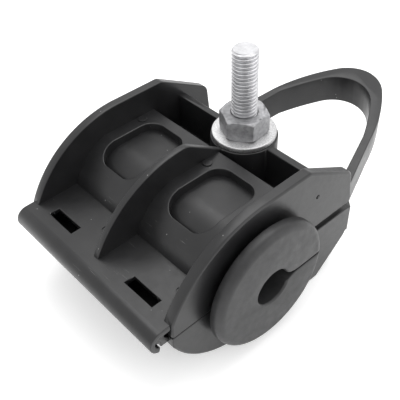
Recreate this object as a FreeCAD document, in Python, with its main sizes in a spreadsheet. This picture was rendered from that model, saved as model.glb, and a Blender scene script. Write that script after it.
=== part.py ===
import FreeCAD, Part
import math
import os
import Sketcher

# Suspension clamp for a fibre cable: two hinged plastic shells round a slit rubber sleeve,
# drawn together by one bolt, with a bail loop moulded on the lower shell.
# X runs along the cable, +Y from the hinge to the bolt and the bail, +Z up along the bolt.
# The origin is the middle of the cable bore, on the parting plane. Millimetres and degrees.

driving = {
    "shell_length": 81.0,
    "end_fin": 4.1,
    "fin_proud": 0.9,
    "mid_fin": 2.6,
    "barrel_wall": 5.6,
    "pocket_floor_wall": 1.6,
    "shoulder_height": 21.7,
    "shoulder_reach": 19.4,
    "channel_width": 13.6,
    "outer_wall": 3.2,
    "channel_floor": 3.0,
    "parting_gap": 3.2,
    "seam_gap": 0.3,
    "foot_reach": 39.2,
    "fin_height": 32.4,
    "fin_arc_radius": 47.0,
    "apex_reach": 24.5,
    "apex_round": 3.6,
    "crest_reach": 4.6,
    "crest_round": 7.0,
    "ear_reach": 48.8,
    "ear_height": 18.8,
    "ear_foot_reach": 50.3,
    "ear_foot_round": 2.0,
    "ear_round": 4.8,
    "keel_depth": 28.5,
    "keel_back": 3.0,
    "keel_reach": 34.8,
    "keel_arc_radius": 38.5,
    "chin_reach": 48.6,
    "chin_depth": 16.2,
    "chin_round": 9.0,
    "cheek_depth": 9.5,
    "root_reach": 51.6,
    "foot_depth": 4.7,
    "plate_top": 6.3,
    "plate_thickness": 2.4,
    "hinge_reach": 43.0,
    "hinge_height": 1.6,
    "bead_radius": 2.3,
    "hinge_clearance": 0.25,
    "bead_setback": 1.4,
    "hook_wrap": 165.0,
    "web_thickness": 2.2,
    "web_slope": 50.0,
    "tongue_offset": 0.4,
    "slot_length": 14.4,
    "slot_width": 4.2,
    "slot_spacing": 46.6,
    "slot_reach": 36.4,
    "pocket_length": 21.4,
    "pocket_shift": 1.8,
    "pocket_back": 13.4,
    "pocket_front": 14.5,
    "pocket_round": 6.2,
    "bolt_reach": 34.0,
    "bolt_radius": 5.0,
    "bolt_top": 58.9,
    "bolt_chamfer": 1.0,
    "bolt_length": 80.0,
    "bolt_clearance": 0.5,
    "head_flats": 17.0,
    "head_height": 6.4,
    "socket_depth": 4.0,
    "socket_clearance": 0.3,
    "boss_radius": 13.2,
    "boss_rise": 0.2,
    "slot_travel": 3.6,
    "washer_radius": 12.6,
    "washer_thickness": 2.0,
    "washer_clearance": 0.3,
    "nut_flats": 17.0,
    "nut_height": 8.4,
    "nut_turn": 35.0,
    "nut_clearance": 0.05,
    "sleeve_radius": 16.4,
    "sleeve_clearance": 0.3,
    "bore_radius": 7.3,
    "bore_lip": 0.6,
    "flange_radius": 25.7,
    "flange_round": 2.9,
    "flange_back_radius": 21.0,
    "flange_width": 7.3,
    "flange_land": 2.6,
    "slit_width": 0.9,
    "funnel_reach": 12.8,
    "funnel_width": 4.6,
    "funnel_round": 10.0,
    "bail_tip": 112.8,
    "bail_shoulder_reach": 107.0,
    "bail_shoulder_width": 24.8,
    "bail_tip_radius": 17.0,
    "bail_side_radius": 76.0,
    "bail_knee_reach": 80.5,
    "bail_knee_width": 54.0,
    "bail_root_reach": 56.0,
    "bail_root_width": 71.2,
    "bail_leg": 3.7,
    "bail_tip_thickness": 8.2,
    "eye_shoulder_reach": 97.8,
    "eye_shoulder_width": 26.4,
    "eye_tip_radius": 16.2,
    "eye_side_radius": 110.0,
    "eye_corner_round": 4.5,
    "apron_reach": 49.2,
    "bail_height": 12.6,
    "bail_root_drop": 1.0,
    "bail_knee_height": 8.0,
    "bail_tip_height": 14.5,
}

doc = FreeCAD.newDocument("suspension_clamp")
sheet = doc.addObject("Spreadsheet::Sheet", "Sizes")
for row, (alias, value) in enumerate(driving.items(), start=1):
    sheet.set(f"A{row}", alias)
    sheet.set(f"B{row}", str(value))
    sheet.setAlias(f"B{row}", alias)
doc.recompute()


class Size:
    """A number together with the sheet expression that it comes from."""

    def __init__(self, value, text):
        self.value = float(value)
        self.text = text

    def __add__(self, other):
        other = lift(other)
        return Size(self.value + other.value, f"({self.text} + {other.text})")

    def __sub__(self, other):
        other = lift(other)
        return Size(self.value - other.value, f"({self.text} - {other.text})")

    def __mul__(self, other):
        other = lift(other)
        return Size(self.value * other.value, f"({self.text} * {other.text})")

    def __truediv__(self, other):
        other = lift(other)
        return Size(self.value / other.value, f"({self.text} / {other.text})")

    def __neg__(self):
        return Size(-self.value, f"(0 - {self.text})")


def lift(number):
    return number if isinstance(number, Size) else Size(number, f"({float(number)})")


def across(radius, offset):
    """Half the chord of a circle at a distance from its centre."""
    value = math.sqrt(radius.value**2 - offset.value**2)
    return Size(value, f"sqrt({radius.text}^2 - {offset.text}^2)")


def cosine(angle):
    return Size(math.cos(math.radians(angle.value)), f"cos({angle.text} * 1deg)")


def sine(angle):
    return Size(math.sin(math.radians(angle.value)), f"sin({angle.text} * 1deg)")


s = {alias: Size(sheet.get(alias), f"Sizes.{alias}") for alias in driving}
zero = lift(0)

# Sizes that follow from the driving ones.
half_length = s["shell_length"] / 2
fin_face = half_length + s["fin_proud"]
barrel_inner = s["sleeve_radius"] + s["sleeve_clearance"]
barrel_outer = barrel_inner + s["barrel_wall"]
pocket_floor = barrel_inner + s["pocket_floor_wall"]
wall_inner = s["shoulder_reach"] + s["channel_width"]
wall_outer = wall_inner + s["outer_wall"]
plate_under = s["plate_top"] - s["plate_thickness"]
hook_inner = s["bead_radius"] + s["hinge_clearance"]
hook_outer = s["plate_top"] - s["hinge_height"]
boss_top = s["shoulder_height"] + s["boss_rise"]
bolt_hole = s["bolt_radius"] + s["bolt_clearance"]
head_seat = s["bolt_top"] - s["bolt_length"]
boss_bottom = head_seat - s["socket_depth"]
washer_top = boss_top + s["washer_thickness"]

# How far the outline of a cut runs past the material.
overrun = lift(1)


def new_body(label):
    body = doc.addObject("PartDesign::Body", label)
    body.Label = label
    return body


def new_sketch(body, name, role, offset=zero):
    """A sketch on one of the body's own planes, moved along the plane's normal."""
    plane = next(item for item in body.Origin.OriginFeatures if item.Role == role)
    sketch = body.newObject("Sketcher::SketchObject", name)
    sketch.AttachmentSupport = [(plane, "")]
    sketch.MapMode = "FlatFace"
    sketch.setExpression("AttachmentOffset.Base.z", offset.text)
    sketch.AttachmentOffset = FreeCAD.Placement(
        FreeCAD.Vector(0, 0, offset.value), FreeCAD.Rotation()
    )
    return sketch


def hold(sketch, kind, where, size):
    """A dimension of the sketch that is tied to the sheet."""
    index = sketch.addConstraint(Sketcher.Constraint(kind, *where, size.value))
    sketch.setExpression(f"Constraints[{index}]", size.text)


def add_circle(sketch, radius, at=(zero, zero)):
    centre = FreeCAD.Vector(at[0].value, at[1].value, 0)
    normal = FreeCAD.Vector(0, 0, 1)
    index = sketch.addGeometry(Part.Circle(centre, normal, radius.value), False)
    hold(sketch, "Radius", (index,), radius)
    hold(sketch, "DistanceX", (-1, 1, index, 3), at[0])
    hold(sketch, "DistanceY", (-1, 1, index, 3), at[1])


def arc_geometry(start, end, radius, turn):
    """The shorter arc from start to end: turn is 1 for anticlockwise, -1 for clockwise."""
    middle = (start + end) / 2
    chord = end - start
    side = FreeCAD.Vector(-chord.y, chord.x, 0).normalize()
    height = math.sqrt(max(radius**2 - (chord.Length / 2) ** 2, 0))
    centre = middle + side * height * turn
    first, last = (start, end) if turn > 0 else (end, start)
    angle = math.atan2(first.y - centre.y, first.x - centre.x)
    final = math.atan2(last.y - centre.y, last.x - centre.x)
    circle = Part.Circle(centre, FreeCAD.Vector(0, 0, 1), radius)
    return Part.ArcOfCircle(circle, angle, final)


def add_outline(sketch, corners):
    """A closed outline. A corner (across, up) is reached by a straight line from the corner
    before it, and a corner (across, up, radius, turn) by an arc."""
    count = len(corners)
    ends = []
    for index in range(count):
        here = corners[index]
        following = corners[(index + 1) % count]
        start = FreeCAD.Vector(here[0].value, here[1].value, 0)
        end = FreeCAD.Vector(following[0].value, following[1].value, 0)
        if len(following) == 2:
            geometry = sketch.addGeometry(Part.LineSegment(start, end), False)
            ends.append((geometry, 1, 2))
        else:
            arc = arc_geometry(start, end, following[2].value, following[3])
            geometry = sketch.addGeometry(arc, False)
            ends.append((geometry, 1, 2) if following[3] > 0 else (geometry, 2, 1))
            hold(sketch, "Radius", (geometry,), following[2])
    for index in range(count):
        geometry, first, last = ends[index]
        joined, joined_first, _ = ends[(index + 1) % count]
        sketch.addConstraint(
            Sketcher.Constraint("Coincident", geometry, last, joined, joined_first)
        )
        hold(sketch, "DistanceX", (-1, 1, geometry, first), corners[index][0])
        hold(sketch, "DistanceY", (-1, 1, geometry, first), corners[index][1])


def rectangle(low_a, high_a, low_b, high_b):
    return [(low_a, low_b), (high_a, low_b), (high_a, high_b), (low_a, high_b)]


def hexagon(flats, turn, at):
    corner = flats / (2 * math.cos(math.pi / 6))
    angles = [turn + lift(60 * step) for step in range(6)]
    return [(at[0] + corner * cosine(a), at[1] + corner * sine(a)) for a in angles]


def pad(body, sketch, length, name):
    feature = body.newObject("PartDesign::Pad", name)
    feature.Profile = sketch
    feature.setExpression("Length", length.text)
    feature.Length = length.value
    sketch.Visibility = False
    return feature


def pocket(body, sketch, length, name, reverse=False):
    feature = body.newObject("PartDesign::Pocket", name)
    feature.Profile = sketch
    feature.setExpression("Length", length.text)
    feature.Length = length.value
    feature.Reversed = reverse
    sketch.Visibility = False
    return feature


def cross_section(body, name, corners, start, length):
    """A solid of the given (Y, Z) outline that runs along X."""
    sketch = new_sketch(body, f"{name}_outline", "YZ_Plane", start)
    add_outline(sketch, corners)
    return pad(body, sketch, length, name)


def dress_edges(body, kind, name, radius, chosen):
    """Fillets or chamfers the edges of the body's present shape that the test picks out."""
    doc.recompute()
    base = body.Tip
    names = [
        f"Edge{number}"
        for number, edge in enumerate(base.Shape.Edges, start=1)
        if chosen(edge)
    ]
    size = "Radius" if kind == "Fillet" else "Size"
    feature = body.newObject(f"PartDesign::{kind}", name)
    feature.Base = (base, names)
    feature.setExpression(size, radius.text)
    return feature


def edge_along_x(edge, reach, height):
    """Whether an edge is a straight line along X at the given Y and Z."""
    box = edge.BoundBox
    close = 0.01
    return (
        box.YLength < close
        and box.ZLength < close
        and box.XLength > close
        and abs(box.YMin - reach.value) < close
        and abs(box.ZMin - height.value) < close
    )


def window_outline(low_a, high_a, low_b, high_b, corner):
    """A rectangle with round corners."""
    return [
        (low_a + corner, low_b, corner, 1),
        (high_a - corner, low_b),
        (high_a, low_b + corner, corner, 1),
        (high_a, high_b - corner),
        (high_a - corner, high_b, corner, 1),
        (low_a + corner, high_b),
        (low_a, high_b - corner, corner, 1),
        (low_a, low_b + corner),
    ]


def cut_windows(body, height, reverse):
    """The two cored pockets in the shoulder, cut through the barrel from its outside."""
    sketch = new_sketch(body, "windows_outline", "XY_Plane", height)
    bay = (fin_face - s["end_fin"] + s["mid_fin"] / 2) / 2
    for side in (-1, 1):
        middle = bay * side - s["pocket_shift"]
        low = middle - s["pocket_length"] / 2
        high = middle + s["pocket_length"] / 2
        outline = window_outline(
            low, high, -s["pocket_back"], s["pocket_front"], s["pocket_round"]
        )
        add_outline(sketch, outline)
    pocket(body, sketch, s["shoulder_height"], "windows", reverse)


def build_upper_shell():
    """The shell on the nut's side, with three fins, a slotted plate and the hinge hook."""
    body = new_body("upper_shell")
    gap = s["parting_gap"]
    seam = s["seam_gap"]
    bed = gap + s["channel_floor"]
    shoulder = s["shoulder_height"]
    hinge = (-s["hinge_reach"], s["hinge_height"])
    wrap = lift(90) + s["hook_wrap"]
    inner_seat = [
        (across(barrel_inner, gap), gap),
        (zero, barrel_inner, barrel_inner, 1),
    ]
    seat_end = (-across(barrel_inner, seam), seam, barrel_inner, 1)
    mouth = across(hook_inner, plate_under - s["hinge_height"])
    skin = [
        seat_end,
        (-across(barrel_outer, seam), seam),
        (-across(barrel_outer, plate_under), plate_under, barrel_outer, -1),
        (hinge[0] + mouth, plate_under),
        (hinge[0], hinge[1] + hook_inner, hook_inner, 1),
        (hinge[0] - hook_inner, hinge[1], hook_inner, 1),
        (
            hinge[0] + hook_inner * cosine(wrap),
            hinge[1] + hook_inner * sine(wrap),
            hook_inner,
            1,
        ),
        (hinge[0] + hook_outer * cosine(wrap), hinge[1] + hook_outer * sine(wrap)),
        (hinge[0] - hook_outer, hinge[1], hook_outer, -1),
        (hinge[0], s["plate_top"], hook_outer, -1),
        (-across(barrel_outer, s["plate_top"]), s["plate_top"]),
        (-across(barrel_outer, shoulder), shoulder, barrel_outer, -1),
        (s["shoulder_reach"], shoulder),
        (s["shoulder_reach"], bed),
        (wall_inner, bed),
        (wall_inner, shoulder),
        (wall_outer, shoulder),
        (wall_outer, gap),
        *inner_seat,
    ]
    cross_section(body, "skin", skin, -half_length, s["shell_length"])
    cut_windows(body, shoulder, False)
    barrel = [
        seat_end,
        (-across(pocket_floor, seam), seam),
        (zero, pocket_floor, pocket_floor, -1),
        (s["shoulder_reach"], pocket_floor),
        (s["shoulder_reach"], gap),
        *inner_seat,
    ]
    cross_section(body, "barrel", barrel, -half_length, s["shell_length"])
    foot = [
        (-s["foot_reach"], seam),
        (-s["foot_reach"], s["plate_top"]),
        (s["crest_reach"], s["fin_height"], s["fin_arc_radius"], -1),
    ]
    end_fin = [
        seat_end,
        *foot,
        (s["apex_reach"], s["fin_height"]),
        (s["ear_reach"], s["ear_height"]),
        (s["ear_foot_reach"], gap),
        *inner_seat,
    ]
    cross_section(body, "far_fin", end_fin, -fin_face, s["end_fin"])
    cross_section(body, "near_fin", end_fin, fin_face - s["end_fin"], s["end_fin"])
    mid_fin = [
        seat_end,
        *foot,
        (s["bolt_reach"] - s["boss_radius"], boss_top),
        (s["bolt_reach"], boss_top),
        (s["bolt_reach"], gap),
        *inner_seat,
    ]
    cross_section(body, "mid_fin", mid_fin, -s["mid_fin"] / 2, s["mid_fin"])
    boss = new_sketch(body, "boss_outline", "XY_Plane", gap)
    add_circle(boss, s["boss_radius"], (zero, s["bolt_reach"]))
    pad(body, boss, boss_top - gap, "boss")
    hole = new_sketch(body, "bolt_slot_outline", "XY_Plane", boss_top)
    near = s["bolt_reach"]
    far = near + s["slot_travel"]
    slot = [
        (bolt_hole, near, bolt_hole, 1),
        (bolt_hole, far),
        (zero, far + bolt_hole, bolt_hole, 1),
        (-bolt_hole, far, bolt_hole, 1),
        (-bolt_hole, near),
        (zero, near - bolt_hole, bolt_hole, 1),
    ]
    add_outline(hole, slot)
    pocket(body, hole, boss_top, "bolt_slot")
    slots = new_sketch(body, "plate_slots_outline", "XY_Plane", s["plate_top"])
    for side in (-1, 1):
        middle = s["slot_spacing"] / 2 * side
        low = middle - s["slot_length"] / 2
        high = middle + s["slot_length"] / 2
        back = -s["slot_reach"] - s["slot_width"] / 2
        front = -s["slot_reach"] + s["slot_width"] / 2
        add_outline(slots, rectangle(low, high, back, front))
    pocket(body, slots, s["plate_thickness"], "plate_slots")
    dress_edges(
        body,
        "Fillet",
        "ear_corners",
        s["ear_round"],
        lambda edge: edge_along_x(edge, s["ear_reach"], s["ear_height"]),
    )
    dress_edges(
        body,
        "Fillet",
        "ear_feet",
        s["ear_foot_round"],
        lambda edge: edge_along_x(edge, s["ear_foot_reach"], gap),
    )
    dress_edges(
        body,
        "Fillet",
        "apex_corners",
        s["apex_round"],
        lambda edge: edge_along_x(edge, s["apex_reach"], s["fin_height"]),
    )
    dress_edges(
        body,
        "Fillet",
        "mid_crest",
        s["crest_round"],
        lambda edge: edge_along_x(edge, s["crest_reach"], s["fin_height"])
        and edge.BoundBox.XMax < s["mid_fin"].value,
    )
    return body


def build_lower_shell():
    """The shell under the cable, moulded in one with the bail that hangs the clamp."""
    body = new_body("lower_shell")
    shoulder = s["shoulder_height"]
    inner_seat = [(barrel_inner, zero), (zero, -barrel_inner, barrel_inner, -1)]
    seat_end = (-barrel_inner, zero, barrel_inner, -1)
    build_bail(body)
    drop = s["hinge_height"] + (plate_under + s["plate_top"]) / 2
    web_length = drop / sine(s["web_slope"])
    web_foot = -s["hinge_reach"] + cosine(s["web_slope"]) * web_length
    plate_edge = web_foot - s["web_thickness"] / 2
    skin = [
        seat_end,
        (-barrel_outer, zero),
        (-across(barrel_outer, plate_under), -plate_under, barrel_outer, 1),
        (plate_edge, -plate_under),
        (plate_edge, -s["plate_top"]),
        (-across(barrel_outer, s["plate_top"]), -s["plate_top"]),
        (-across(barrel_outer, shoulder), -shoulder, barrel_outer, 1),
        (s["shoulder_reach"], -shoulder),
        (s["shoulder_reach"], -s["channel_floor"]),
        (wall_inner, -s["channel_floor"]),
        (wall_inner, -shoulder),
        (wall_outer, -shoulder),
        (wall_outer, -s["channel_floor"]),
        (s["apron_reach"], -s["channel_floor"]),
        (s["apron_reach"], zero),
        *inner_seat,
    ]
    cross_section(body, "skin", skin, -half_length, s["shell_length"])
    cut_windows(body, -shoulder, True)
    barrel = [
        seat_end,
        (-pocket_floor, zero),
        (zero, -pocket_floor, pocket_floor, 1),
        (s["shoulder_reach"], -pocket_floor),
        (s["shoulder_reach"], zero),
        *inner_seat,
    ]
    cross_section(body, "barrel", barrel, -half_length, s["shell_length"])
    keel = [
        (-s["foot_reach"], zero),
        (-s["foot_reach"], -s["foot_depth"]),
        (-s["keel_back"], -s["keel_depth"], s["keel_arc_radius"], 1),
    ]
    end_fin = [
        seat_end,
        *keel,
        (s["keel_reach"], -s["keel_depth"]),
        (s["chin_reach"], -s["chin_depth"]),
        (s["root_reach"], -s["cheek_depth"], s["chin_round"], 1),
        (s["root_reach"], -s["bail_root_drop"]),
        (s["apron_reach"], zero),
        *inner_seat,
    ]
    cross_section(body, "far_fin", end_fin, -fin_face, s["end_fin"])
    cross_section(body, "near_fin", end_fin, fin_face - s["end_fin"], s["end_fin"])
    mid_fin = [
        seat_end,
        *keel,
        (s["crest_reach"], -s["keel_depth"]),
        (s["bolt_reach"] - s["boss_radius"], boss_bottom),
        (s["bolt_reach"], boss_bottom),
        (s["bolt_reach"], zero),
        *inner_seat,
    ]
    cross_section(body, "mid_fin", mid_fin, -s["mid_fin"] / 2, s["mid_fin"])
    build_lower_hinge(body, web_length)
    boss = new_sketch(body, "boss_outline", "XY_Plane", boss_bottom)
    add_circle(boss, s["boss_radius"], (zero, s["bolt_reach"]))
    pad(body, boss, -boss_bottom, "boss")
    hole = new_sketch(body, "bolt_hole_outline", "XY_Plane")
    add_circle(hole, bolt_hole, (zero, s["bolt_reach"]))
    pocket(body, hole, -boss_bottom, "bolt_hole")
    socket = new_sketch(body, "head_socket_outline", "XY_Plane", head_seat)
    flats = s["head_flats"] + s["socket_clearance"] * 2
    add_outline(socket, hexagon(flats, zero, (zero, s["bolt_reach"])))
    pocket(body, socket, s["socket_depth"], "head_socket")
    return body


def build_bail(body):
    """The flat loop that the clamp hangs from: a tall band, pointed outside, round inside."""
    root = s["apron_reach"] - s["outer_wall"]
    root_half = s["bail_root_width"] / 2
    knee_half = s["bail_knee_width"] / 2
    shoulder_half = s["bail_shoulder_width"] / 2
    inner_root = root_half - s["bail_leg"]
    inner_knee = knee_half - s["bail_leg"]
    eye_half = s["eye_shoulder_width"] / 2
    corner = s["eye_corner_round"]
    eye_tip = s["bail_tip"] - s["bail_tip_thickness"]
    sketch = new_sketch(body, "bail_outline", "XY_Plane", -s["keel_depth"])
    outside = [
        (-fin_face, root),
        (fin_face, root),
        (fin_face, s["root_reach"]),
        (root_half, s["bail_root_reach"]),
        (knee_half, s["bail_knee_reach"]),
        (shoulder_half, s["bail_shoulder_reach"], s["bail_side_radius"], 1),
        (zero, s["bail_tip"], s["bail_tip_radius"], 1),
        (-shoulder_half, s["bail_shoulder_reach"], s["bail_tip_radius"], 1),
        (-knee_half, s["bail_knee_reach"], s["bail_side_radius"], 1),
        (-root_half, s["bail_root_reach"]),
        (-fin_face, s["root_reach"]),
    ]
    eye = [
        (-(inner_root - corner), s["apron_reach"], corner, 1),
        (inner_root - corner, s["apron_reach"]),
        (inner_root, s["apron_reach"] + corner, corner, 1),
        (inner_knee, s["bail_knee_reach"]),
        (eye_half, s["eye_shoulder_reach"], s["eye_side_radius"], 1),
        (zero, eye_tip, s["eye_tip_radius"], 1),
        (-eye_half, s["eye_shoulder_reach"], s["eye_tip_radius"], 1),
        (-inner_knee, s["bail_knee_reach"], s["eye_side_radius"], 1),
        (-inner_root, s["apron_reach"] + corner),
    ]
    add_outline(sketch, outside)
    add_outline(sketch, eye)
    block_top = s["bail_tip_height"] + overrun
    pad(body, sketch, s["keel_depth"] + block_top, "bail")
    beyond = s["bail_tip"] + overrun
    before = root - overrun
    above = [
        (before, zero),
        (s["apron_reach"], zero),
        (s["root_reach"], -s["bail_root_drop"]),
        (s["bail_knee_reach"], s["bail_knee_height"]),
        (beyond, s["bail_tip_height"]),
        (beyond, block_top + overrun),
        (before, block_top + overrun),
    ]
    root_bottom = -s["bail_root_drop"] - s["bail_height"]
    below = [
        (before, root_bottom),
        (s["root_reach"], root_bottom),
        (s["bail_knee_reach"], s["bail_knee_height"] - s["bail_height"]),
        (beyond, s["bail_tip_height"] - s["bail_height"]),
        (beyond, -s["keel_depth"] - overrun),
        (before, -s["keel_depth"] - overrun),
    ]
    for name, corners in (("bail_top", above), ("bail_underside", below)):
        cut = new_sketch(body, f"{name}_outline", "YZ_Plane", fin_face + overrun)
        add_outline(cut, corners)
        pocket(body, cut, (fin_face + overrun) * 2, name)


def build_lower_hinge(body, web_length):
    """The bead that the upper shell's hook turns on, and the tongue that carries it."""
    start = s["bead_setback"] - half_length
    length = s["shell_length"] - s["bead_setback"] * 2
    hinge = (-s["hinge_reach"], s["hinge_height"])
    along = (cosine(s["web_slope"]), -sine(s["web_slope"]))
    aside = (sine(s["web_slope"]), cosine(s["web_slope"]))
    half = s["web_thickness"] / 2
    slope = []
    for run, side in ((web_length, -half), (web_length, half), (zero, half)):
        reach = hinge[0] + along[0] * run + aside[0] * side
        height = hinge[1] + along[1] * run + aside[1] * side
        slope.append((reach, height))
    tongue = hinge[0] + s["tongue_offset"]
    tongue_bottom = hinge[1] - hook_outer
    web = [
        (tongue, hinge[1]),
        (tongue, tongue_bottom),
        (-s["foot_reach"], tongue_bottom),
        *slope,
    ]
    cross_section(body, "hinge_web", web, start, length)
    bead = new_sketch(body, "hinge_bead_outline", "YZ_Plane", start)
    add_circle(bead, s["bead_radius"], hinge)
    pad(body, bead, length, "hinge_bead")


def build_sleeve():
    """The rubber sleeve: a flange at each end, and a slit that faces the bolt."""
    body = new_body("cable_sleeve")
    inside = fin_face + s["sleeve_clearance"]
    outside = inside + s["flange_width"]
    land = inside + s["flange_land"]
    rim = s["flange_radius"]
    face_edge = rim - s["flange_round"]
    rim_edge = outside - s["flange_round"]
    outline = [
        (outside - s["bore_lip"], s["bore_radius"]),
        (outside, s["bore_radius"] + s["bore_lip"]),
        (outside, face_edge),
        (rim_edge, rim, s["flange_round"], 1),
        (land, rim),
        (inside, s["flange_back_radius"]),
        (inside, s["sleeve_radius"]),
        (-inside, s["sleeve_radius"]),
        (-inside, s["flange_back_radius"]),
        (-land, rim),
        (-rim_edge, rim),
        (-outside, face_edge, s["flange_round"], 1),
        (-outside, s["bore_radius"] + s["bore_lip"]),
        (s["bore_lip"] - outside, s["bore_radius"]),
    ]
    sketch = new_sketch(body, "sleeve_outline", "XY_Plane")
    add_outline(sketch, outline)
    turned = body.newObject("PartDesign::Revolution", "sleeve")
    turned.Profile = sketch
    turned.ReferenceAxis = (sketch, ["H_Axis"])
    turned.Angle = 360
    doc.recompute()
    slit = new_sketch(body, "slit_outline", "XY_Plane", s["slit_width"] / 2)
    end = outside + overrun
    add_outline(slit, rectangle(-end, end, s["bore_radius"] / 2, rim + overrun))
    pocket(body, slit, s["slit_width"], "slit")
    funnel = new_sketch(body, "funnel_outline", "YZ_Plane", end)
    lip = s["slit_width"] / 2
    mouth = s["funnel_width"] / 2
    mouth_reach = across(s["bore_radius"], mouth)
    corners = [
        (s["funnel_reach"], -lip, s["funnel_round"], -1),
        (s["funnel_reach"], lip),
        (mouth_reach, mouth, s["funnel_round"], -1),
        (mouth_reach, -mouth),
    ]
    add_outline(funnel, corners)
    pocket(body, funnel, end * 2, "funnel")
    return body


def place_on_bolt(body, height):
    """Puts a body that is drawn round its own Z axis on the bolt's axis."""
    body.Placement = FreeCAD.Placement(
        FreeCAD.Vector(0, s["bolt_reach"].value, height.value), FreeCAD.Rotation()
    )
    body.setExpression("Placement.Base.y", s["bolt_reach"].text)
    body.setExpression("Placement.Base.z", height.text)


def build_bolt():
    """The clamp bolt, its hexagon head held in the lower boss and its thread upward."""
    body = new_body("clamp_bolt")
    head = new_sketch(body, "head_outline", "XY_Plane", -s["head_height"])
    add_outline(head, hexagon(s["head_flats"], zero, (zero, zero)))
    pad(body, head, s["head_height"], "head")
    shank = new_sketch(body, "shank_outline", "XY_Plane")
    add_circle(shank, s["bolt_radius"])
    pad(body, shank, s["bolt_length"], "shank")
    top = s["bolt_length"].value - s["bolt_chamfer"].value / 2
    dress_edges(
        body,
        "Chamfer",
        "point",
        s["bolt_chamfer"],
        lambda edge: edge.BoundBox.ZMin > top,
    )
    place_on_bolt(body, head_seat)
    return body


def build_washer():
    """The large flat washer between the nut and the upper boss."""
    body = new_body("flat_washer")
    sketch = new_sketch(body, "washer_outline", "XY_Plane")
    add_circle(sketch, s["washer_radius"])
    add_circle(sketch, s["bolt_radius"] + s["washer_clearance"])
    pad(body, sketch, s["washer_thickness"], "washer")
    place_on_bolt(body, boss_top)
    return body


def build_nut():
    """The hexagon nut, its corners turned off at 30 degrees on both faces."""
    body = new_body("hex_nut")
    sketch = new_sketch(body, "nut_outline", "XY_Plane")
    add_outline(sketch, hexagon(s["nut_flats"], s["nut_turn"], (zero, zero)))
    add_circle(sketch, s["bolt_radius"] + s["nut_clearance"])
    pad(body, sketch, s["nut_height"], "nut")
    doc.recompute()
    corner = s["nut_flats"] / (2 * math.cos(math.pi / 6)) + overrun
    flat = s["nut_flats"] / 2
    fall = (corner - flat) * math.tan(math.pi / 6)
    groove_outline = new_sketch(body, "corners_outline", "XZ_Plane")
    top = s["nut_height"]
    above = top + overrun
    add_outline(groove_outline, [(flat, top), (corner, top - fall), (corner, above), (flat, above)])
    add_outline(groove_outline, [(flat, zero), (flat, -overrun), (corner, -overrun), (corner, fall)])
    groove = body.newObject("PartDesign::Groove", "corners")
    groove.Profile = groove_outline
    groove.ReferenceAxis = (groove_outline, ["V_Axis"])
    groove.Angle = 360
    place_on_bolt(body, washer_top)
    return body


parts = [
    build_lower_shell(),
    build_upper_shell(),
    build_sleeve(),
    build_bolt(),
    build_washer(),
    build_nut(),
]
doc.recompute()

for item in doc.Objects:
    if "Invalid" in item.State or "Error" in item.State:
        raise RuntimeError(f"{item.Label} failed: {item.State}")
os.makedirs("parts", exist_ok=True)
for body in parts:
    shape = body.Shape
    if shape.isNull() or not shape.isValid() or len(shape.Solids) != 1:
        raise RuntimeError(f"{body.Label} is not one valid solid")
    shape.exportStep(f"parts/{body.Label}.step")
    print(body.Label, round(shape.Volume / 1000, 2), "cm3", shape.BoundBox)
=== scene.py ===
import math
import bmesh
import bpy
from mathutils import Matrix, Vector


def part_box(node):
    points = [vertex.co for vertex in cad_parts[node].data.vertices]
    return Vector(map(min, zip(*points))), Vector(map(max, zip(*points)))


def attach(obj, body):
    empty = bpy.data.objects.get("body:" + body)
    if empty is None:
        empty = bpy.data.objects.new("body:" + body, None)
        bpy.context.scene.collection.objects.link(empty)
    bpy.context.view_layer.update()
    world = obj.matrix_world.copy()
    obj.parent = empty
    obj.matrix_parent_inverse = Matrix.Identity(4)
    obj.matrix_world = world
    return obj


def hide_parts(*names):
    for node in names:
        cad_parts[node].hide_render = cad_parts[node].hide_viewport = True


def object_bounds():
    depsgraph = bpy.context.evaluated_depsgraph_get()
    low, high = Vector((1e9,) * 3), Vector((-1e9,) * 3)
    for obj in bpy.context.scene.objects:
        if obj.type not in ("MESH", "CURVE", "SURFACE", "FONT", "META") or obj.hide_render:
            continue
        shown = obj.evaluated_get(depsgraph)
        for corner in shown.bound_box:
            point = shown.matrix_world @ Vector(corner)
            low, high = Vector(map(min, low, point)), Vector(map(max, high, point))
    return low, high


# A hinged plastic suspension clamp with a slit rubber sleeve, a zinc-plated bolt and a moulded bail.
# Metres throughout, in the clamp's own frame: X along the cable, Y towards the bail, Z up the bolt.
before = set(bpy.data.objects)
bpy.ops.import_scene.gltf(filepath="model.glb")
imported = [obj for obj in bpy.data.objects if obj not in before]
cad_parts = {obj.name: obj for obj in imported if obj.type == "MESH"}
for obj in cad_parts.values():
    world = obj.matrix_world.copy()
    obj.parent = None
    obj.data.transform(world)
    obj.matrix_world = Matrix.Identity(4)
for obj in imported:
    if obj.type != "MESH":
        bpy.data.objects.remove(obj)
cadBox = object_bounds()
scene = bpy.context.scene
millimetre = 0.001


def toLinear(hexColour):
    channels = [int(hexColour[i:i + 2], 16) / 255 for i in (0, 2, 4)]
    linear = [c / 12.92 if c <= 0.04045 else ((c + 0.055) / 1.055) ** 2.4 for c in channels]
    return (*linear, 1.0)


def addNode(tree, kind, settings=None, inputs=None, links=None):
    # one node with its settings, its input values and what feeds it
    node = tree.nodes.new(kind)
    for name, value in (settings or {}).items():
        setattr(node, name, value)
    for name, value in (inputs or {}).items():
        node.inputs[name].default_value = value
    for name, source in (links or {}).items():
        tree.links.new(source, node.inputs[name])
    return node


def newMaterial(name):
    material = bpy.data.materials.new(name)
    material.use_nodes = True
    tree = material.node_tree
    tree.nodes.clear()
    return material, tree


def newObject(name, mesh):
    thing = bpy.data.objects.new(name, mesh)
    scene.collection.objects.link(thing)
    return thing


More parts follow.
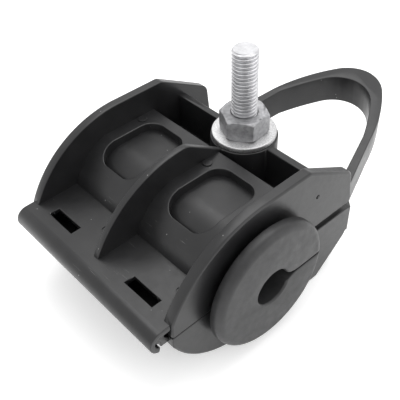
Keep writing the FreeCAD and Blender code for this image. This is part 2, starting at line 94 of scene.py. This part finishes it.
# Camera, at the photograph's viewing angle
cameraPlace = {
    "position": (0.14513, -0.11324, 0.17996),
    "azimuth": 49.637,
    "elevation": 43.077,
    "roll": -2.591,
    "lens": 60.09,
    "sensor": 36.0,
    "nearest": 0.01,
}


def addCamera():
    azimuth, elevation, roll = (math.radians(cameraPlace[k]) for k in ("azimuth", "elevation", "roll"))
    back = Vector((
        math.sin(azimuth) * math.cos(elevation),
        -math.cos(azimuth) * math.cos(elevation),
        math.sin(elevation),
    ))
    right = Vector((math.cos(azimuth), math.sin(azimuth), 0))
    up = back.cross(right)
    turnedRight = right * math.cos(roll) + up * math.sin(roll)
    turnedUp = up * math.cos(roll) - right * math.sin(roll)
    data = bpy.data.cameras.new("photoCamera")
    data.lens = cameraPlace["lens"]
    data.sensor_width = cameraPlace["sensor"]
    data.clip_start = cameraPlace["nearest"]
    camera = newObject("photoCamera", data)
    turn = Matrix((turnedRight, turnedUp, back)).transposed().to_4x4()
    camera.matrix_world = Matrix.Translation(cameraPlace["position"]) @ turn
    scene.camera = camera


addCamera()
print("camera set")

# Table and light
studio = {
    "tableSize": 6.0,
    "tableHeight": cadBox[0].z - 0.0002,
    # seen by the camera and in glosses, it brings the paper up to the photograph's white
    "tableGlow": 0.35,
    "ambient": 1.0,
    "aim": (0, 0.02, 0),
}
softboxes = {
    "right": {"from": (0.55, 0.25, 0.30), "size": 0.5, "power": 0.8},
    "overhead": {"from": (-0.15, 0.25, 0.80), "size": 0.7, "power": 3.5},
}


def seenDirectly(tree):
    # 1 for what the camera sees, also through glass or in a gloss, and 0 for bounced light
    path = addNode(tree, "ShaderNodeLightPath")
    glossy = addNode(tree, "ShaderNodeMath", {"operation": "MAXIMUM"},
                     links={0: path.outputs["Is Glossy Ray"], 1: path.outputs["Is Transmission Ray"]})
    first = addNode(tree, "ShaderNodeMath", {"operation": "MAXIMUM"},
                    links={0: path.outputs["Is Camera Ray"], 1: glossy.outputs[0]})
    return first.outputs[0]


def addTable():
    # white paper: lights the clamp from below and keeps its faint shadow
    material, tree = newMaterial("white paper sheet")
    matte = addNode(tree, "ShaderNodeBsdfDiffuse", inputs={"Color": toLinear("f2f2f2")})
    glow = addNode(tree, "ShaderNodeEmission",
                   inputs={"Color": (1, 1, 1, 1), "Strength": studio["tableGlow"]})
    lit = addNode(tree, "ShaderNodeAddShader", links={0: matte.outputs[0], 1: glow.outputs[0]})
    mix = addNode(tree, "ShaderNodeMixShader",
                  links={0: seenDirectly(tree), 1: matte.outputs[0], 2: lit.outputs[0]})
    addNode(tree, "ShaderNodeOutputMaterial", links={"Surface": mix.outputs[0]})
    mesh = bpy.data.meshes.new("table")
    half = studio["tableSize"] / 2
    corners = [(-half, -half), (half, -half), (half, half), (-half, half)]
    mesh.from_pydata([(x, y, studio["tableHeight"]) for x, y in corners], [], [(0, 1, 2, 3)])
    mesh.materials.append(material)
    newObject("table", mesh)


def addRoomLight():
    world = bpy.data.worlds.new("studio")
    scene.world = world
    world.use_nodes = True
    tree = world.node_tree
    tree.nodes.clear()
    plain = addNode(tree, "ShaderNodeBackground",
                    inputs={"Color": (1, 1, 1, 1), "Strength": studio["ambient"]})
    white = addNode(tree, "ShaderNodeBackground", inputs={"Color": (1, 1, 1, 1), "Strength": 1.0})
    mix = addNode(tree, "ShaderNodeMixShader",
                  links={0: seenDirectly(tree), 1: plain.outputs[0], 2: white.outputs[0]})
    addNode(tree, "ShaderNodeOutputWorld", links={"Surface": mix.outputs[0]})


def addSoftboxes():
    for name, box in softboxes.items():
        data = bpy.data.lights.new(name, "AREA")
        data.shape = "SQUARE"
        data.size = box["size"]
        data.energy = box["power"]
        lamp = newObject(name, data)
        place = Vector(box["from"])
        aim = Vector(studio["aim"]) - place
        lamp.matrix_world = Matrix.Translation(place) @ aim.to_track_quat("-Z", "Y").to_matrix().to_4x4()


addTable()
addRoomLight()
addSoftboxes()
scene.view_settings.view_transform = "Standard"
print("table and lights set")


# Materials
def objectPlace(tree):
    return addNode(tree, "ShaderNodeTexCoord").outputs["Object"]


def noise(tree, place, size, detail):
    # noise whose blotches are about so many millimetres across, from 0 to 1
    node = addNode(tree, "ShaderNodeTexNoise",
                   inputs={"Scale": 1 / (size * millimetre), "Detail": detail, "Roughness": 0.55},
                   links={"Vector": place})
    return node.outputs["Fac"]


def stretched(tree, value, fromLow, fromHigh, low, high):
    node = addNode(tree, "ShaderNodeMapRange",
                   inputs={"From Min": fromLow, "From Max": fromHigh, "To Min": low, "To Max": high},
                   links={"Value": value})
    return node.outputs["Result"]


def clouds(tree, place, size, detail, edges=(0.35, 0.65)):
    # soft patches, 0 in some places and 1 in others
    return stretched(tree, noise(tree, place, size, detail), *edges, 0.0, 1.0)


def wandering(tree, place, size, low, high, detail):
    # patches between two values; the noise itself keeps to about 0.3 to 0.7
    return stretched(tree, noise(tree, place, size, detail), 0.3, 0.7, low, high)


def mixed(tree, factor, first, second):
    node = addNode(tree, "ShaderNodeMix", {"data_type": "RGBA"})
    for name, value in (("Factor", factor), ("A", first), ("B", second)):
        socket = next(s for s in node.inputs if s.name == name and s.enabled)
        if isinstance(value, tuple):
            socket.default_value = value
        else:
            tree.links.new(value, socket)
    return next(s for s in node.outputs if s.enabled)


def product(tree, first, second):
    return addNode(tree, "ShaderNodeMath", {"operation": "MULTIPLY"},
                   links={0: first, 1: second}).outputs[0]


def specks(tree, place, look):
    # round dust grains, one in a share of the cells of a loose grid
    cells = addNode(tree, "ShaderNodeTexVoronoi",
                    inputs={"Scale": 1 / (look["spacing"] * millimetre)}, links={"Vector": place})
    rim = look["radius"] / look["spacing"]
    core = 0.6 * rim
    grain = stretched(tree, cells.outputs["Distance"], core, rim, 1.0, 0.0)
    pick = addNode(tree, "ShaderNodeSeparateColor", links={"Color": cells.outputs["Color"]})
    chosen = stretched(tree, pick.outputs["Red"], look["share"], look["share"] + 0.01, 1.0, 0.0)
    return product(tree, grain, chosen)


def scratches(tree, place, look):
    # short hairlines that all run one way, cut up by a coarser noise
    slim = look["length"] / look["width"]
    mapping = addNode(tree, "ShaderNodeMapping",
                      inputs={"Rotation": look["turn"], "Scale": (1.0, slim, slim)},
                      links={"Vector": place})
    fine = clouds(tree, mapping.outputs["Vector"], look["length"], detail=0.0, edges=look["edges"])
    patches = clouds(tree, place, look["patch"], detail=2.0, edges=look["patchEdges"])
    return product(tree, fine, patches)


def finishSurface(tree, colour, roughness, height, depth, metallic=0.0):
    bump = addNode(tree, "ShaderNodeBump",
                   inputs={"Strength": 1.0, "Distance": depth * millimetre},
                   links={"Height": height})
    shader = addNode(tree, "ShaderNodeBsdfPrincipled", inputs={"Metallic": metallic},
                     links={"Base Color": colour, "Roughness": roughness, "Normal": bump.outputs["Normal"]})
    addNode(tree, "ShaderNodeOutputMaterial", links={"Surface": shader.outputs[0]})


# Sizes are in millimetres
polyamide = {
    "dark": "1a1a1b",
    "light": "212122",
    "flow": 9.0,
    "rough": (0.3, 0.38),
    "roughSize": 2.4,
    "grain": 0.35,
    "grainDepth": 0.012,
    "scratches": {
        "colour": "5c5c5c",
        "turn": (0.0, 0.0, 0.7),
        "length": 7.0,
        "width": 0.16,
        "edges": (0.8, 0.83),
        "patch": 14.0,
        "patchEdges": (0.58, 0.66),
    },
    "dust": {"colour": "8c8c8c", "spacing": 2.8, "radius": 0.24, "share": 0.2},
    "lint": {"colour": "b4b4b4", "spacing": 11.0, "radius": 0.3, "share": 0.12},
}


def mouldedPolyamide():
    # half-matt black that only lightens where it mirrors the white room
    material, tree = newMaterial("black glass filled polyamide, injection moulded")
    place = objectPlace(tree)
    flow = clouds(tree, place, polyamide["flow"], detail=3.0)
    colour = mixed(tree, flow, toLinear(polyamide["dark"]), toLinear(polyamide["light"]))
    marks = {
        "scratches": scratches(tree, place, polyamide["scratches"]),
        "dust": specks(tree, place, polyamide["dust"]),
        "lint": specks(tree, place, polyamide["lint"]),
    }
    for name, mark in marks.items():
        colour = mixed(tree, mark, colour, toLinear(polyamide[name]["colour"]))
    roughness = wandering(tree, place, polyamide["roughSize"], *polyamide["rough"], detail=4.0)
    grain = noise(tree, place, polyamide["grain"], detail=3.0)
    finishSurface(tree, colour, roughness, grain, polyamide["grainDepth"])
    return material


rubber = {
    "dark": "1e1e1f",
    "light": "29292a",
    "bloom": 5.0,
    "bloomEdges": (0.35, 0.7),
    "rough": (0.4, 0.52),
    "roughSize": 3.0,
    "grain": 0.5,
    "grainDepth": 0.02,
    "dust": {"colour": "8a8a8a", "spacing": 3.0, "radius": 0.17, "share": 0.12},
}


def mouldedRubber():
    # duller than the shells, with a cloudy bloom on the skin and dust held in it
    material, tree = newMaterial("black ethylene rubber, compression moulded")
    place = objectPlace(tree)
    bloom = clouds(tree, place, rubber["bloom"], detail=5.0, edges=rubber["bloomEdges"])
    colour = mixed(tree, bloom, toLinear(rubber["dark"]), toLinear(rubber["light"]))
    dust = specks(tree, place, rubber["dust"])
    colour = mixed(tree, dust, colour, toLinear(rubber["dust"]["colour"]))
    roughness = wandering(tree, place, rubber["roughSize"], *rubber["rough"], detail=4.0)
    grain = noise(tree, place, rubber["grain"], detail=4.0)
    finishSurface(tree, colour, roughness, grain, rubber["grainDepth"])
    return material


zincCoats = {
    # nearly white thread, as rolled and bright plated
    "bolt": {
        "name": "bright zinc plated steel, thread rolled",
        "pale": "dadadc",
        "dull": "c6c6c8",
        "blotch": 2.5,
        "rough": (0.34, 0.46),
        "grain": 0.3,
        "grainDepth": 0.006,
    },
    # granular spangle of a barrel-plated stamping
    "washer": {
        "name": "zinc plated steel, stamped",
        "pale": "d8d8d8",
        "dull": "b8b8b9",
        "blotch": 0.6,
        "rough": (0.44, 0.56),
        "grain": 0.25,
        "grainDepth": 0.012,
    },
    # greyer, forged skin under the coat
    "nut": {
        "name": "zinc plated steel, hot forged",
        "pale": "b4b4b6",
        "dull": "9a9a9c",
        "blotch": 1.6,
        "rough": (0.52, 0.64),
        "grain": 0.3,
        "grainDepth": 0.01,
    },
}


def zincPlate(coat):
    # bright metal under a clear passivated zinc coat, clouded and lightly grained
    material, tree = newMaterial(coat["name"])
    place = objectPlace(tree)
    cloud = clouds(tree, place, coat["blotch"], detail=4.0)
    colour = mixed(tree, cloud, toLinear(coat["dull"]), toLinear(coat["pale"]))
    roughness = wandering(tree, place, coat["blotch"] / 3, *coat["rough"], detail=3.0)
    grain = noise(tree, place, coat["grain"], detail=3.0)
    finishSurface(tree, colour, roughness, grain, coat["grainDepth"], metallic=1.0)
    return material


finishes = {"shell": mouldedPolyamide(), "sleeve": mouldedRubber()}
for name, coat in zincCoats.items():
    finishes[name] = zincPlate(coat)
print("materials made")


# Pieces made from the CAD solids, with their edges rounded
weldDistance = 0.000002
flatLimit = math.radians(0.4)

# Both shells, in millimetres and degrees
shells = {
    "rounding": {"width": 1.3, "segments": 4, "fromAngle": 30, "creaseAngle": 30},
    # the end fins' outer rims take the full width, every other edge this share of it
    "plainShare": 0.42,
    "onPlane": 0.01,
    "rimStart": 21.0,
    "rimClimb": 6.0,
    # a fin's side by the bail, on which the full width begins above the parting gap
    "sideReach": 45.0,
    "sideFoot": (3.0, 6.5),
    "sideTop": 11.0,
    "sideSteps": 16,
    "fadeOver": 5.0,
    # the barrel, its pockets' floors and its bore, shaded as true circles
    "roundRadii": (22.3, 18.3, 16.7),
    "onCircle": 0.05,
    "faceTilt": 4,
    "cornerTilt": 5,
    # a face of this width or more is shaded flat, except on the bail
    "flatWidth": 2.6,
    "bailStart": 52.0,
}


def replaceMesh(piece):
    # keeps the shape that the piece's modifiers give it, and drops them
    evaluated = piece.evaluated_get(bpy.context.evaluated_depsgraph_get())
    finished = bpy.data.meshes.new_from_object(evaluated)
    piece.modifiers.clear()
    piece.data = finished
    finished.name = piece.name


def cutAway(piece, cutters):
    # takes each closed cutter out of the piece, then deletes the cutters
    bm = bmesh.new()
    bm.from_mesh(piece.data)
    bmesh.ops.triangulate(bm, faces=[face for face in bm.faces if len(face.verts) > 4])
    bm.to_mesh(piece.data)
    bm.free()
    for cutter in cutters:
        cut = piece.modifiers.new("cut", "BOOLEAN")
        cut.operation = "DIFFERENCE"
        cut.solver = "EXACT"
        cut.object = cutter
    replaceMesh(piece)
    for cutter in cutters:
        bpy.data.objects.remove(cutter)


def joinFlatFaces(bm):
    bmesh.ops.dissolve_limit(
        bm,
        angle_limit=flatLimit,
        use_dissolve_boundaries=False,
        verts=bm.verts,
        edges=bm.edges,
    )


def divideSides(bm):
    # a side that climbs from the parting gap gets short steps, so that its rounding can fade in
    lowest, fadeStart = shells["sideFoot"]
    sides = []
    for edge in bm.edges:
        low, high = sorted(v.co.z / millimetre for v in edge.verts)
        reach = min(v.co.y for v in edge.verts) / millimetre
        if lowest < low < fadeStart and high > shells["sideTop"] and reach > shells["sideReach"]:
            sides.append(edge)
    bmesh.ops.subdivide_edges(bm, edges=sides, cuts=shells["sideSteps"])


def softenedPiece(nodeName, pieceName, rounding, share, cutters=()):
    # the CAD solid with its outer edges rounded; share tells how much of the width an edge takes
    bm = bmesh.new()
    bm.from_mesh(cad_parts[nodeName].data)
    bmesh.ops.remove_doubles(bm, verts=bm.verts, dist=weldDistance)
    mesh = bpy.data.meshes.new(pieceName)
    bm.to_mesh(mesh)
    bm.free()
    piece = newObject(pieceName, mesh)
    if cutters:
        cutAway(piece, cutters)
    bm = bmesh.new()
    bm.from_mesh(piece.data)
    joinFlatFaces(bm)
    divideSides(bm)
    for face in bm.faces:
        face.smooth = True
    weights = bm.edges.layers.float.new("bevel_weight_edge")
    for edge in bm.edges:
        if len(edge.link_faces) != 2:
            continue
        if edge.calc_face_angle_signed(0) > math.radians(rounding["fromAngle"]):
            edge[weights] = share(*(v.co / millimetre for v in edge.verts))
        edge.smooth = edge[weights] > 0 or edge.calc_face_angle(0) < math.radians(rounding["creaseAngle"])
    bm.to_mesh(piece.data)
    bm.free()
    bevel = piece.modifiers.new("roundEdges", "BEVEL")
    bevel.limit_method = "WEIGHT"
    bevel.offset_type = "WIDTH"
    bevel.width = rounding["width"] * millimetre
    bevel.segments = rounding["segments"]
    bevel.use_clamp_overlap = False
    bevel.loop_slide = False
    bevel.miter_outer = "MITER_ARC"
    bevel.harden_normals = True  # the flat faces stay flat beside their rounded edges
    replaceMesh(piece)
    return piece


def shadeTrue(piece):
    # wide faces are shaded flat and the barrel's follow its true circles about the cable
    mesh = piece.data
    faceLimit = math.cos(math.radians(shells["faceTilt"]))
    cornerLimit = math.cos(math.radians(shells["cornerTilt"]))
    normals = [corner.vector.copy() for corner in mesh.corner_normals]
    for polygon in mesh.polygons:
        ring = [mesh.vertices[index].co for index in polygon.vertices]
        longest = max((spot - other).length for spot in ring for other in ring)
        onBail = min(spot.y for spot in ring) > shells["bailStart"] * millimetre
        if polygon.area / longest > shells["flatWidth"] * millimetre and not onBail:
            for index in polygon.loop_indices:
                normals[index] = polygon.normal.copy()
            continue
        corners = []
        for index in polygon.loop_indices:
            spot = mesh.vertices[mesh.loops[index].vertex_index].co
            reach = math.hypot(spot.y, spot.z) / millimetre
            if any(abs(reach - radius) < shells["onCircle"] for radius in shells["roundRadii"]):
                corners.append((index, Vector((0, spot.y, spot.z)).normalized()))
        onRound = len(corners) == len(polygon.vertices) and all(
            abs(polygon.normal.dot(outward)) > faceLimit for _, outward in corners)
        for index, outward in corners:
            if onRound or abs(normals[index].dot(outward)) > cornerLimit:
                side = polygon.normal.dot(outward) if onRound else normals[index].dot(outward)
                normals[index] = outward if side > 0 else -outward
    mesh.normals_split_custom_set(normals)


def joinInto(piece, extras):
    # adds other closed meshes to the piece's own mesh
    bm = bmesh.new()
    bm.from_mesh(piece.data)
    for extra in extras:
        bm.from_mesh(extra.data)
        bpy.data.objects.remove(extra)
    bm.to_mesh(piece.data)
    bm.free()


def smoothFaces(mesh, creaseAngle=30):
    for polygon in mesh.polygons:
        polygon.use_smooth = True
    mesh.set_sharp_from_angle(angle=math.radians(creaseAngle))


def turnedForm(name, profile, steps, place, axis=(0, 0, 1)):
    # a closed form turned round an axis; the profile is (radius, height) pairs in millimetres
    bm = bmesh.new()
    rings = []
    for radius, height in profile:
        ring = []
        for step in range(steps):
            angle = 2 * math.pi * step / steps
            ring.append(bm.verts.new((radius * math.cos(angle), radius * math.sin(angle), height)))
        rings.append(ring)
    for low, high in zip(rings, rings[1:]):
        for step in range(steps):
            after = (step + 1) % steps
            bm.faces.new((low[step], low[after], high[after], high[step]))
    bm.faces.new(list(reversed(rings[0])))
    bm.faces.new(rings[-1])
    turn = Vector((0, 0, 1)).rotation_difference(Vector(axis)).to_matrix().to_4x4()
    bmesh.ops.transform(bm, verts=bm.verts, matrix=(
        Matrix.Translation(Vector(place) * millimetre) @ turn @ Matrix.Scale(millimetre, 4)))
    mesh = bpy.data.meshes.new(name)
    bm.to_mesh(mesh)
    bm.free()
    smoothFaces(mesh)
    return newObject(name, mesh)


def finishPiece(piece, body, nodeName, material):
    piece.data.materials.clear()
    piece.data.materials.append(material)
    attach(piece, body)
    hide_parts(nodeName)
    print(piece.name, len(piece.data.polygons), "faces")


# Upper shell
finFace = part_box("upper_shell")[1].x / millimetre
upper = {
    # ejector pin prints: proud on the shoulder, sunk in the slotted plate
    "shoulder": 21.7,
    "raisedPins": [(-35.0, 11.6), (3.3, 11.6)],
    "pinRise": 0.5,
    "pinRoot": 0.5,
    "plate": 6.3,
    "sunkPins": [(-8.4, -28.2), (32.2, -27.2)],
    "pinSink": 0.3,
    "pinRadius": 1.9,
    "pinEdge": 0.08,
    "pinMargin": 0.2,
    "pinSteps": 32,
    # the broken-off gate in its pit on the end fin
    "gate": (finFace, 29.5, 18.5),
    "gateRadius": 1.05,
    "gateDepth": 0.9,
    "gateMargin": 0.25,
    "gateSteps": 14,
    "stub": [(0.5, -0.7), (0.45, -0.05), (0.2, 0.12)],
    "stubOffset": (-0.1, 0.35, -0.25),
    "stubSteps": 12,
    # how far the pits' cutters stand out of the surface
    "pinCutter": 1.0,
    "gateCutter": 0.4,
}


def inPit(spot):
    # whether a corner, in millimetres, lies at a sunk print or at the gate
    reach = upper["pinRadius"] + upper["pinMargin"]
    onPlate = any(math.hypot(spot.x - x, spot.y - y) < reach for x, y in upper["sunkPins"])
    atGate = (spot - Vector(upper["gate"])).length < upper["gateRadius"] + upper["gateMargin"]
    return onPlate or atGate


def outerRim(first, second):
    # the outer rims of the end fins are rounder than every other edge, and the pits stay sharp
    if inPit(first) and inPit(second):
        return 0.0
    onFace = all(abs(abs(v.x) - finFace) < shells["onPlane"] for v in (first, second))
    farOut = all(math.hypot(v.y, v.z) > shells["rimStart"] for v in (first, second))
    if not (onFace and farOut):
        return shells["plainShare"]
    climbed = max(abs(first.z), abs(second.z))
    if min(first.y, second.y) > shells["sideReach"] and first.z > 0:
        grown = min(max((climbed - shells["sideFoot"][1]) / shells["fadeOver"], 0.0), 1.0)
    else:
        grown = 1.0 if climbed > shells["rimClimb"] else 0.0
    return shells["plainShare"] + (1 - shells["plainShare"]) * grown


def pinDisc(spot):
    # the print of an ejector pin, standing proud by its rise
    radius, rise, edge = upper["pinRadius"], upper["pinRise"], upper["pinEdge"]
    profile = [(radius, -upper["pinRoot"]), (radius, rise - edge), (radius - edge, rise)]
    return turnedForm("pinDisc", profile, upper["pinSteps"], (*spot, upper["shoulder"]))


def buildUpperShell():
    radius = upper["pinRadius"]
    hole = [(radius, -upper["pinSink"]), (radius, upper["pinCutter"])]
    cutters = [turnedForm("pinHole", hole, upper["pinSteps"], (*spot, upper["plate"]))
               for spot in upper["sunkPins"]]
    pit = [(upper["gateRadius"] / 2, -upper["gateDepth"]), (upper["gateRadius"], upper["gateCutter"])]
    cutters.append(turnedForm("gatePit", pit, upper["gateSteps"], upper["gate"], (1, 0, 0)))
    piece = softenedPiece("upper_shell", "upperShell", shells["rounding"], outerRim, cutters)
    shadeTrue(piece)
    proud = [pinDisc(spot) for spot in upper["raisedPins"]]
    stubPlace = Vector(upper["gate"]) + Vector(upper["stubOffset"])
    proud.append(turnedForm("gateStub", upper["stub"], upper["stubSteps"], stubPlace, (1, 0, 0)))
    joinInto(piece, proud)
    finishPiece(piece, "jaw", "upper_shell", finishes["shell"])


buildUpperShell()


# Lower shell with the bail
def buildLowerShell():
    piece = softenedPiece("lower_shell", "lowerShell", shells["rounding"], outerRim)
    shadeTrue(piece)
    finishPiece(piece, "lower", "lower_shell", finishes["shell"])


buildLowerShell()

# Rubber sleeve
sleeve = {
    "rounding": {"width": 0.5, "segments": 3, "fromAngle": 35, "creaseAngle": 30},
}


def buildSleeve():
    piece = softenedPiece("cable_sleeve", "cableSleeve", sleeve["rounding"], lambda first, second: 1.0)
    finishPiece(piece, "lower", "cable_sleeve", finishes["sleeve"])


buildSleeve()

# Bolt, with its rolled thread
boltBox = [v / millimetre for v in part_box("clamp_bolt")]
bolt = {
    "axis": ((boltBox[0].x + boltBox[1].x) / 2, (boltBox[0].y + boltBox[1].y) / 2),
    "top": boltBox[1].z,
    "headBottom": boltBox[0].z,
    "headHeight": 6.4,
    "flats": boltBox[1].y - boltBox[0].y,
    "crest": 4.98,
    "threadDepth": 0.9,
    "pitch": 1.5,
    # where a flank starts and ends, on the way from the middle of a root to that of a crest
    "flank": (0.05, 0.7),
    "tipRadius": 4.45,
    "tipSlope": 1.0,
    "stepsRound": 60,
    "rowsPerTurn": 10,
    # the thread's grid begins below the shank's foot and ends past its tip
    "startTurns": 1.2,
    "spareTurns": 3,
    "endRows": 0.0001,
    "threadCrease": 40,
    # a cone takes off the head's six corners
    "headFace": 0.95,
    "coneRise": 0.3 + math.tan(math.pi / 6),
    "coneSpare": 0.02,
    "coneSteps": 64,
    "headCrease": 25,
}


def threadTree():
    # a rolled thread as one wrapped grid, whose rows follow the helix
    tree = bpy.data.node_groups.new("rolledThread", "GeometryNodeTree")
    tree.interface.new_socket("Geometry", in_out="OUTPUT", socket_type="NodeSocketGeometry")
    for name in ("Crest", "Depth", "Pitch", "Length", "Turns", "Tip", "Slope"):
        tree.interface.new_socket(name, in_out="INPUT", socket_type="NodeSocketFloat")
    for name in ("Round", "Rows"):
        tree.interface.new_socket(name, in_out="INPUT", socket_type="NodeSocketInt")
    tree.interface.new_socket("Material", in_out="INPUT", socket_type="NodeSocketMaterial")
    given = addNode(tree, "NodeGroupInput").outputs

    def maths(operation, first, second=0.0):
        node = addNode(tree, "ShaderNodeMath", {"operation": operation})
        for index, value in enumerate((first, second)):
            if isinstance(value, (int, float)):
                node.inputs[index].default_value = value
            else:
                tree.links.new(value, node.inputs[index])
        return node.outputs[0]

    grid = addNode(tree, "GeometryNodeMeshGrid", inputs={"Size X": 1.0, "Size Y": 1.0},
                   links={"Vertices X": given["Round"], "Vertices Y": given["Rows"]})
    spot = addNode(tree, "ShaderNodeSeparateXYZ",
                   links={0: addNode(tree, "GeometryNodeInputPosition").outputs[0]})
    around = maths("ADD", spot.outputs["X"], 0.5)
    along = maths("ADD", spot.outputs["Y"], 0.5)
    row = maths("SUBTRACT", maths("MULTIPLY", along, given["Turns"]), bolt["startTurns"])
    rise = maths("MULTIPLY", maths("ADD", row, around), given["Pitch"])
    height = maths("MINIMUM", maths("MAXIMUM", rise, 0.0), given["Length"])
    # 1 on the broad crest and 0 in the narrow root
    swing = maths("ABSOLUTE", maths("SUBTRACT", maths("MULTIPLY", maths("FRACT", row), 2.0), 1.0))
    flank = addNode(tree, "ShaderNodeMapRange", {"interpolation_type": "SMOOTHSTEP"},
                    inputs={"From Min": bolt["flank"][0], "From Max": bolt["flank"][1]},
                    links={"Value": swing}).outputs["Result"]
    root = maths("SUBTRACT", given["Crest"], given["Depth"])
    threaded = maths("ADD", root, maths("MULTIPLY", flank, given["Depth"]))
    # the tip's chamfer, and at the foot the runout into the shank
    left = maths("SUBTRACT", given["Length"], height)
    cone = maths("ADD", given["Tip"], maths("MULTIPLY", left, given["Slope"]))
    pointed = maths("MINIMUM", threaded, cone)
    fade = maths("SUBTRACT", given["Crest"], maths("MULTIPLY", height, given["Slope"]))
    radius = maths("MAXIMUM", pointed, fade)
    # rows past the tip lie on its edge, and the first and the last row close the end faces
    past = maths("GREATER_THAN", rise, given["Length"])
    radius = maths("ADD", radius, maths("MULTIPLY", past, maths("SUBTRACT", given["Tip"], radius)))
    afterFirst = maths("GREATER_THAN", along, bolt["endRows"])
    beforeLast = maths("LESS_THAN", along, 1 - bolt["endRows"])
    radius = maths("MULTIPLY", radius, maths("MULTIPLY", afterFirst, beforeLast))
    angle = maths("MULTIPLY", around, 2 * math.pi)
    wrapped = addNode(tree, "ShaderNodeCombineXYZ", links={
        "X": maths("MULTIPLY", radius, maths("COSINE", angle)),
        "Y": maths("MULTIPLY", radius, maths("SINE", angle)),
        "Z": height,
    })
    moved = addNode(tree, "GeometryNodeSetPosition",
                    links={"Geometry": grid.outputs["Mesh"], "Position": wrapped.outputs[0]})
    welded = addNode(tree, "GeometryNodeMergeByDistance", inputs={"Distance": weldDistance},
                     links={"Geometry": moved.outputs[0]})
    real = addNode(tree, "GeometryNodeRealizeInstances", links={"Geometry": welded.outputs[0]})
    painted = addNode(tree, "GeometryNodeSetMaterial",
                      links={"Geometry": real.outputs[0], "Material": given["Material"]})
    addNode(tree, "NodeGroupOutput", links={0: painted.outputs[0]})
    return tree


def buildBolt():
    low = bolt["headBottom"] + bolt["headHeight"]
    length = bolt["top"] - low
    turns = math.ceil(length / bolt["pitch"]) + bolt["spareTurns"]
    piece = newObject("clampBolt", bpy.data.meshes.new("clampBolt"))
    threads = piece.modifiers.new("threads", "NODES")
    threads.node_group = threadTree()
    values = {
        "Crest": bolt["crest"] * millimetre,
        "Depth": bolt["threadDepth"] * millimetre,
        "Pitch": bolt["pitch"] * millimetre,
        "Length": length * millimetre,
        "Turns": float(turns),
        "Tip": bolt["tipRadius"] * millimetre,
        "Slope": bolt["tipSlope"],
        "Round": bolt["stepsRound"] + 1,
        "Rows": turns * bolt["rowsPerTurn"] + 1,
        "Material": finishes["bolt"],
    }
    for socket in threads.node_group.interface.items_tree:
        if socket.item_type == "SOCKET" and socket.in_out == "INPUT":
            threads[socket.identifier] = values[socket.name]
    replaceMesh(piece)
    piece.data.transform(Matrix.Translation(Vector((*bolt["axis"], low)) * millimetre))
    corner = bolt["flats"] / 2 / math.cos(math.pi / 6)
    headPlace = (*bolt["axis"], bolt["headBottom"])
    head = turnedForm("boltHead", [(corner, 0), (corner, bolt["headHeight"])], 6, headPlace)
    profile = [
        (bolt["flats"] / 2 * bolt["headFace"], 0),
        (corner + bolt["coneSpare"], bolt["coneRise"]),
        (corner + bolt["coneSpare"], bolt["headHeight"]),
    ]
    cone = turnedForm("headCone", profile, bolt["coneSteps"], headPlace)
    shape = head.modifiers.new("cone", "BOOLEAN")
    shape.operation = "INTERSECT"
    shape.solver = "EXACT"
    shape.object = cone
    replaceMesh(head)
    bpy.data.objects.remove(cone)
    smoothFaces(piece.data, bolt["threadCrease"])
    smoothFaces(head.data, bolt["headCrease"])
    joinInto(piece, [head])
    finishPiece(piece, "lower", "clamp_bolt", finishes["bolt"])


buildBolt()

# Washer and nut
washer = {"rounding": {"width": 0.5, "segments": 3, "fromAngle": 40, "creaseAngle": 30}}
nut = {
    "rounding": {"width": 0.75, "segments": 3, "fromAngle": 40, "creaseAngle": 25},
    "boreReach": 5.3,  # from the bolt's axis
    "edgeShare": 0.45,
}


def nutShare(first, second):
    # the bore's mouth is countersunk, the outside only worn round
    reach = max(math.hypot(v.x - bolt["axis"][0], v.y - bolt["axis"][1]) for v in (first, second))
    return 1.0 if reach < nut["boreReach"] else nut["edgeShare"]


def buildWasherAndNut():
    piece = softenedPiece("flat_washer", "flatWasher", washer["rounding"], lambda first, second: 1.0)
    finishPiece(piece, "washer", "flat_washer", finishes["washer"])
    piece = softenedPiece("hex_nut", "hexNut", nut["rounding"], nutShare)
    finishPiece(piece, "nut", "hex_nut", finishes["nut"])


buildWasherAndNut()
